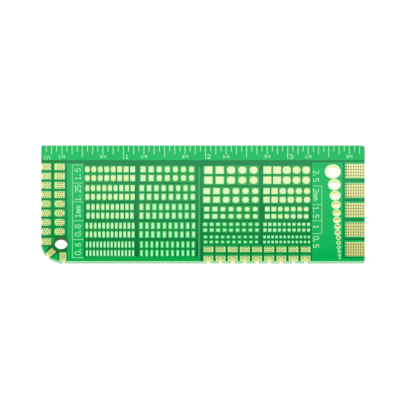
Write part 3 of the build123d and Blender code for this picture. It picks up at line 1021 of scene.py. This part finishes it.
castle_land = (castle_reach, lower_width)
corner_land, foot_land = (2.75, 1.85, 0.065), (3.0, 2.05)
edge_spots = {
    "edge_pads_left": [(place(0.0, drop), 0.0, *left_land(row))
                       for row, drop in enumerate(left_drops)],
    "edge_pads_lower": [(place(x, board_width), pi / 2, *castle_land) for x in lower_columns],
    "edge_pad_corner": [(corner_notch, corner_angle + pi, *corner_land)],
    "edge_pad_foot": [(place(foot_x, board_width), pi / 2, *foot_land)],
}
drills = {"edge_pads_left": edge_vias, "edge_pads_lower": castle_vias,
          "edge_pad_corner": corner_vias, "edge_pad_foot": foot_vias}
for node, spots in edge_spots.items():
    lands = [edge_outline(*spot) for spot in spots]
    walls = [edge_wall(*spot[:2]) for spot in spots]
    face = gold_foot_land if node == "edge_pads_lower" else gold_via_land
    top = sheet(node + "_top", face, "cell", "strip", lands, drills[node])
    wall = sheet(node + "_wall", gold_barrel, "core", "cell", walls)
    back = sheet(node + "_back", gold_via_land, "back", "core", lands, drills[node])
    keep(joined(node + "_plated", top, wall, back), "gold", node)

# %% [markdown]
# Cells round the via pads. Each is a frame of masked copper that is open over its land, and a
# pad at the board's edge has a frame with three sides. The lines between the frames are where
# the dark mask shows. Two wedges of copper fill the room between the pads at the large corner.
# The frames at the foot are a piece of their own, because their mask has its own shade.

# %% Frames of masked copper
left_half, edge_frame_reach, inner_frame = 1.33, 3.15, (3.9, 3.55)
lower_half, lower_frame, castle_frame_reach = 1.655, (34.45, 2.65), 2.44
grid_frame_left, grid_frame_above, grid_frame_below = 93.7, 0.65, (0.4, 0.4, 0.4, 0.4, 0.3)
last_frame = [(0.0, -1.5), (4.1, -1.5), (3.4, 0.8), (3.2, 1.1), (edge_reach, 1.1),
              (edge_reach, -1.1), (0.0, -1.1)]
wedges = [([(2.3, 34.95)], 193, 214.5), ([(5.15, 37.35), (3.3, 38.65)], 238, 259)]


def open_frame(centre, angle, reach, half, land):
    """A three-sided frame round a land at the edge."""
    rim = [(0.0, -half), (reach, -half), (reach, half), (0.0, half)]
    return turned(rim + land_path(*land), centre, angle)


frame_loops = []
for row, drop in enumerate(left_drops[:-1]):
    left, width = inner_frame
    frame_loops += [open_frame(place(0.0, drop), 0.0, edge_frame_reach, left_half,
                               left_land(row)),
                    rectangle(left, drop - left_half, width, 2 * left_half), inner_loops[row]]
for top, below in zip(grid_tops, grid_frame_below):
    upper, low = top - grid_frame_above, top + grid_height
    frame_loops.append([place(*p) for p in [
        (board_length, upper), (grid_frame_left, upper), (grid_frame_left, low + below),
        (board_length, low + below), (board_length, low), (grid_left, low), (grid_left, top),
        (board_length, top)]])
frame_loops.append([place(x, left_last + down) for x, down in last_frame])
for points, start, end in wedges:
    frame_loops.append([place(*p) for p in points]
                       + arc(corner_centre, big, radians(start), radians(end), 6))
keep(sheet("via_cell_frames", mask_over_copper, "cell", "frame", frame_loops), "mask_light")

lower_frame_loops = []
for x, loop in zip(lower_columns, lower_loops):
    top, height = lower_frame
    lower_frame_loops += [rectangle(x - lower_half, top, 2 * lower_half, height), loop,
                          open_frame(place(x, board_width), pi / 2, castle_frame_reach,
                                     lower_half, castle_land)]
keep(sheet("lower_cell_frames", mask_at_foot_pads, "cell", "frame", lower_frame_loops),
     "mask_light")

# %% [markdown]
# A via is a thin tube through the whole board, and its dark brown is painted shade inside it.
# All of them come from one tree: a short tube on every point. The same tree lays a ring of
# darker gold round each via, a painted shade that spreads the via's darkness. The rings at the
# left are the widest.

# %% Tree for via barrels
tube_tree = Tree("via_tubes", Bore="Float", Wall="Float", Bottom="Float", Thickness="Float",
                 Finish="Material")
source = tube_tree.inputs
ring = tube_tree.join(tube_tree.round_curve(source["Bore"]), tube_tree.round_curve(source["Wall"]))
tube = tube_tree.plate(ring, source["Bottom"], source["Thickness"])
tube_tree.finish(tube_tree.on_points(source["Drawing"], tube))
keep(grow(drawing("via_barrels", all_vias), tube_tree, Bore=via_bore, Wall=via_drill,
          Bottom=heights["back"], Thickness=heights["cell"], Finish=via_barrel), "gold")
ring_sunk, ring_height = 0.01, 0.013
# Rings of painted shade round the vias.
for name, vias, reach, finish in [
        ("via_shade_rings", edge_vias + inner_vias + corner_vias + foot_vias, 0.32, gold_via_ring),
        ("lower_shade_rings", lower_vias, 0.24, gold_via_ring),
        ("grid_shade_rings", grid_vias, 0.23, gold_grid_ring)]:
    keep(grow(drawing(name, vias), tube_tree, Bore=via_bore, Wall=reach,
              Bottom=heights["strip"] - ring_sunk, Thickness=ring_height, Finish=finish), "gold")

# %% [markdown]
# A graded hole is a turned shape: a barrel with a land at each end and a small chamfer at its
# mouths. Its half section goes once round the axis, and the last ring joins the first. The
# narrower the barrel, the less light reaches its wall, so "small" and "warm" grow on the wall's
# faces as the bore narrows, and the land's own faces have none of either.

# %% Graded plated holes
land_break = (0.04, 0.012)


def spool(name, centre, land, bore, wall):
    chamfer = 0.2 * (land - bore)
    strip, top = heights["strip"], heights["top"]
    section = [(bore, foil), (bore + chamfer, 0.0), (land, 0.0), (land, heights["core"]),
               (wall, heights["core"]), (wall, strip), (land, strip), (land, top - land_break[1]),
               (land - land_break[0], top), (bore + chamfer, top), (bore, top - foil)]
    steps = round_steps(land)
    points = [((centre[0] + r * cos(tau * i / steps)) * MM,
               (centre[1] + r * sin(tau * i / steps)) * MM, z * MM)
              for i in range(steps) for r, z in section]
    count = len(section)
    faces = [(i * count + j, ((i + 1) % steps) * count + j,
              ((i + 1) % steps) * count + (j + 1) % count, i * count + (j + 1) % count)
             for i in range(steps) for j in range(count)]
    mesh = bpy.data.meshes.new(name)
    mesh.from_pydata(points, [], faces)
    mesh.materials.append(gold_land)
    mesh.materials.append(gold_barrel)
    tints = {"small": 1.15 - 1.25 * bore, "warm": 0.9 * (1.75 - bore)}
    for title, tint in tints.items():
        layer = mesh.attributes.new(title, "FLOAT", "FACE")
        for face, slot in zip(mesh.polygons, layer.data):
            face.material_index = int(face.center.z < heights["frame"] * MM)
            slot.value = face.material_index * min(1.0, max(0.0, tint))
    smoothed(mesh)
    return linked(name, mesh)


for number, centre, land, bore, wall in graded:
    node = f"plated_hole_{number:02d}"
    keep(spool(node + "_spool", centre, land, bore, wall), "gold", node)

# %% [markdown]
# The ruler's ticks are one instance each. The tick's number decides its length: every second
# one is longer, every eighth longer still and every sixteenth marks the inch.

# %% Tree for ruler ticks
inch = 25.4
tick_tree = Tree("ruler_ticks", Count="Int", Spacing="Float", Line="Float", Short="Float",
                 Eighth="Float", Half="Float", Inch="Float", Bottom="Float", Thickness="Float",
                 Finish="Material")
source = tick_tree.inputs
spots = tick_tree.node("GeometryNodeMeshLine", {"mode": "OFFSET"}, {
    "Count": source["Count"],
    "Start Location": tick_tree.vector(source["Spacing"] - board_length / 2, board_width / 2),
    "Offset": tick_tree.vector(source["Spacing"])})
number = tick_tree.node("GeometryNodeInputIndex") + 1
even, half, whole = [(number % step).equals(0) for step in (2, 8, 16)]
length = (source["Short"] + even * (source["Eighth"] - source["Short"])
          + half * (source["Half"] - source["Eighth"]) + whole * (source["Inch"] - source["Half"]))
block = tick_tree.node("GeometryNodeMeshCube", sockets={"Size": (1.0, 1.0, 1.0)})
shift = tick_tree.vector(y=length * -0.5, z=source["Bottom"] + source["Thickness"] * 0.5)
tick_tree.finish(tick_tree.on_points(
    tick_tree.moved(spots, shift), block,
    Scale=tick_tree.vector(source["Line"], length, source["Thickness"])))
piece = grow(drawing("ticks", [(0.0, 0.0)]), tick_tree, Count=62, Spacing=inch / 16, Line=0.26,
             Short=2.1, Eighth=3.1, Half=4.0, Inch=4.7, Bottom=heights["strip"], Thickness=foil,
             Finish=white_print)
keep(piece, "print", "ruler_ticks")

# %% [markdown]
# Board-drawing programs write with a pen of one width, so the letters here are pen strokes too.
# Each letter is a few lines on a small grid, 4 wide and 6 high. The pen tree sweeps a flat nib
# along the lines. Only numbers, a fraction stroke and the two units are written.

# %% Pen strokes
strokes = {
    "0": ["1,0 0,1 0,5 1,6 3,6 4,5 4,1 3,0 1,0"],
    "1": ["0.8,4.8 2,6", "2,6 2,0", "0.6,0 3.4,0"],
    "2": ["0,5 1,6 3,6 4,5 4,4 0,0", "0,0 4,0"],
    "3": ["0,5.4 0.8,6 3.2,6 4,5.2 4,4 3.2,3.2 1.6,3.2",
          "3.2,3.2 4,2.4 4,0.8 3.2,0 0.8,0 0,0.6"],
    "4": ["3,0 3,6", "3,6 0,2", "0,2 4.2,2"],
    "5": ["4,6 0.4,6", "0.4,6 0.2,3.5", "0.2,3.5 3,3.6 4,2.7 4,1 3,0 1,0 0,0.8"],
    "6": ["3.6,6 2,5.6 0.6,4.2 0,2.4 0,1 1,0 3,0 4,1 4,2.4 3,3.4 1,3.4 0,2.4"],
    "8": ["1,3.2 0.2,4 0.2,5.2 1,6 3,6 3.8,5.2 3.8,4 3,3.2 1,3.2 "
          "0,2.2 0,1 1,0 3,0 4,1 4,2.2 3,3.2"],
    ".": ["0,0.2 1.4,0.2", "0,0.7 1.4,0.7"],
    "/": ["0.2,0 3.8,6"],
    "m": ["0,0 0,4", "0,3.2 0.8,4 1.6,4 2,3.4 2,0", "2,3.4 2.6,4 3.4,4 4,3.4 4,0"],
    "I": ["1.4,0 1.4,6"],
    "n": ["0,0 0,4.4", "0,3.4 1,4.4 2.6,4.4 3.4,3.6 3.4,0"],
}
pen_tree = Tree("pen_strokes", Pen="Float", Bottom="Float", Thickness="Float", Finish="Material")
source = pen_tree.inputs
path = pen_tree.node("GeometryNodeMeshToCurve", sockets={"Mesh": source["Drawing"]})
path = pen_tree.node("GeometryNodeSetCurveNormal", {"mode": "Z_UP"}, {"Curve": path})
nib = pen_tree.box_curve(source["Pen"], source["Thickness"])
ink_line = pen_tree.node("GeometryNodeCurveToMesh", sockets={
    "Curve": path, "Profile Curve": nib, "Fill Caps": True})
lift = pen_tree.vector(z=source["Bottom"] + source["Thickness"] * 0.5)
pen_tree.finish(pen_tree.moved(ink_line, lift))


def written(text, anchor, letters, angle=0.0):
    """Stroke lines of a text that is centred on its anchor along its own direction."""
    height, width, advance = letters
    scale_x, scale_y = width / 4, height / 6
    start = -(advance * (len(text) - 1) + width) / 2
    lines = []
    for number, letter in enumerate(text):
        for stroke in strokes[letter]:
            points = [tuple(float(v) for v in pair.split(",")) for pair in stroke.split()]
            lines.append(turned([(start + number * advance + x * scale_x, y * scale_y)
                                 for x, y in points], anchor, angle))
    return lines


def longer(before, end, pen):
    """A stroke's end, moved on by a sixth of the pen's width."""
    along = Vector(end) - Vector(before)
    return tuple(Vector(end) + along.normalized() * pen / 6)


def print_text(name, lines, pen):
    """Crossing strokes lie at slightly different heights, so that no two tops coincide."""
    points, edges = [], []
    for number, stroke in enumerate(lines):
        edges += [(len(points) + i, len(points) + i + 1) for i in range(len(stroke) - 1)]
        stroke = [longer(*stroke[1::-1], pen)] + stroke[1:-1] + [longer(*stroke[-2:], pen)]
        points += [(*point, -0.001 * (number % 4)) for point in stroke]
    piece = grow(drawing(name, points, edges), pen_tree, Pen=pen, Bottom=heights["strip"],
                 Thickness=foil, Finish=white_print)
    return keep(piece, "print")


# %% [markdown]
# The ruler's numbers stand right of their inch ticks with the fractions under the quarter ticks,
# and the pad sizes run up the left strip and down the right one. Letters are given by their
# height, their width and the step from one to the next.

# %% Numbers on the ruler and the strips
unit_letters, inch_letters = (1.5, 0.906, 1.097), (1.38, 0.92, 1.4)
fraction_letters = (0.92, 0.55, 0.69)
left_letters, right_letters = (1.56, 1.04, 1.42), (1.6, 1.04, 1.37)
unit_pen, number_pen, fraction_pen, size_pen = 0.22, 0.28, 0.2, 0.26
unit_x, unit_drop, number_shift, number_drop, fraction_drop = 1.77, 4.9, 1.05, 4.55, 4.3
left_text_x, left_text_drop, left_text_step, right_text_x = 12.09, 9.95, 6.47, 84.15

print_text("ruler_unit", written("In", place(unit_x, unit_drop), unit_letters), unit_pen)
ruler_lines = []
for number in (1, 2, 3):
    ruler_lines += written(str(number), place(inch * number + number_shift, number_drop),
                           inch_letters)
print_text("ruler_numbers", ruler_lines, number_pen)
fraction_lines = []
for number in range(4):
    for text, share in (("1/4", 0.25), ("3/4", 0.75)):
        fraction_lines += written(text, place(inch * (number + share), fraction_drop),
                                  fraction_letters)
print_text("ruler_fractions", fraction_lines, fraction_pen)

left_lines = []
for number, text in enumerate(["1.5", "1.25", "1mm", "0.8", "0.6"]):
    left_lines += written(text, place(left_text_x, left_text_drop + left_text_step * number),
                          left_letters, pi / 2)
print_text("left_pad_sizes", left_lines, size_pen)
right_lines = []
for text, drop in [("2.5", 10.58), ("2mm", 16.96), ("1.5", 23.08), ("1", 28.15), ("0.5", 33.36)]:
    right_lines += written(text, place(right_text_x, drop), right_letters, -pi / 2)
print_text("right_pad_sizes", right_lines, size_pen)

# %% [markdown]
# The centre stripe and the brackets keep their CAD shapes and only take a finish.

# %% CAD nodes that stay
for node, finish in {"centre_trace": mask_over_trace, "bracket_left": thin_print,
                     "bracket_right": thin_print}.items():
    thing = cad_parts[node]
    thing.data.materials.clear()
    thing.data.materials.append(finish)
print("kept from the CAD model: centre_trace, bracket_left, bracket_right")

# %% [markdown]
# The studio starts with a white floor that keeps only a soft trace of shadow. It glows where the
# camera sees it and throws no light of its own on the board. Under the board, where it shows
# through the holes, it is painted a little darker, a painted shadow, and yellow under the narrow
# graded ones, a painted reflection of their gold walls.

# %% Floor
floor_reach, floor_height = 3.0, -0.00003
hidden_margins = (3.0, 3.5)
golden_start, golden_fade, golden_middle, golden_reach = 15.5, 3.5, 39.0, 5.0
white, shaded_white, golden_white = (1.0, 1.0, 1.0), (0.97, 1.0, 0.93), (0.98, 1.0, 0.64)

floor_mesh = bpy.data.meshes.new("floor")
floor_mesh.from_pydata([(x * floor_reach, y * floor_reach, floor_height)
                        for x, y in ((-1, -1), (1, -1), (1, 1), (-1, 1))], [], [(0, 1, 2, 3)])
floor = linked("floor", floor_mesh)
paper = Finish("white_floor")
paper.set(Base_Color=(0.95, 0.95, 0.95, 1.0), Roughness=0.9, Specular_IOR_Level=0.0)
# Painted shadow under the board.
under = (paper.x.magnitude().below((board_length / 2 - hidden_margins[0]) * MM)
         * paper.y.magnitude().below((board_width / 2 - hidden_margins[1]) * MM))
# Painted reflection of the gold walls under the narrow graded holes.
golden = ((paper.y / MM - (board_width / 2 - golden_start)) * (-1 / golden_fade)).clamped()
golden = golden * (paper.x / MM).near(golden_middle, golden_reach)
colour = paper.mix(paper.mix(white, shaded_white, under), golden_white, golden * under)
glow = paper.node("ShaderNodeEmission", sockets={"Color": colour, "Strength": 1.03})
mixed = paper.node("ShaderNodeMixShader", sockets={
    0: paper.seen() * (0.95 - under * 0.08), 1: Value(paper, paper.surface.outputs[0]), 2: glow})
paper.put(paper.tree.nodes["Material Output"].inputs["Surface"], mixed)
floor_mesh.materials.append(paper.material)
floor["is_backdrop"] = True
print("floor:", round(2 * floor_reach, 1), "m wide")

# %% [markdown]
# The world is an even white, brighter for the camera than as a light. One large lamp in front
# of the board lights the sawn edge and the far walls of the holes.

# %% World and lamp
world = bpy.data.worlds.new("studio")
bpy.context.scene.world = world
world.use_nodes = True
sky = Nodes(world.node_tree)
background = world.node_tree.nodes["Background"]
background.inputs["Color"].default_value = (1.0, 1.0, 1.0, 1.0)
sky.put(background.inputs["Strength"], sky.seen() * 0.35 + 0.65)

lamp_data = bpy.data.lights.new("softbox", "AREA")
lamp_data.shape, lamp_data.size, lamp_data.energy = "SQUARE", 0.6, 2.6
lamp = linked("softbox", lamp_data)
lamp.location = (-0.2, -0.45, 0.65)
lamp.rotation_euler = (-lamp.location).to_track_quat("-Z", "Y").to_euler()
print("world", world.name, "and lamp", lamp.name)

# %% [markdown]
# The camera looks down from 63.4 degrees. The picture shows no perspective, so the camera is
# orthographic, and its width is the picture's 400 pixels at 3.2347 pixels to the millimetre. The
# board isn't quite in the picture's middle, so the camera looks a few pixels beside its centre.

# %% Camera
elevation, camera_distance = radians(63.4), 0.6
picture_pixels, pixels_per_mm = 400, 3.2347
pixels_left, pixels_up = 3.0, 3.3
pixel = MM / pixels_per_mm
eye = bpy.data.cameras.new("camera")
eye.type = "ORTHO"
eye.ortho_scale = picture_pixels * pixel
eye.clip_start, eye.clip_end = 0.01, 10.0
camera = linked("camera", eye)
camera.rotation_euler = (pi / 2 - elevation, 0.0, 0.0)
back = Vector((0.0, -cos(elevation), sin(elevation)))
up = Vector((0.0, sin(elevation), cos(elevation)))
target = Vector((-pixels_left * pixel, 0.0, heights["top"] * MM)) + up * pixels_up * pixel
camera.location = target + back * camera_distance
bpy.context.scene.camera = camera
bpy.context.scene.view_settings.view_transform = "Standard"
print("camera at", [round(v, 3) for v in camera.location])

# %% Sizes
low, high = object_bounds()
print("visual box in mm", [round(v / MM, 3) for v in (*low, *high)])
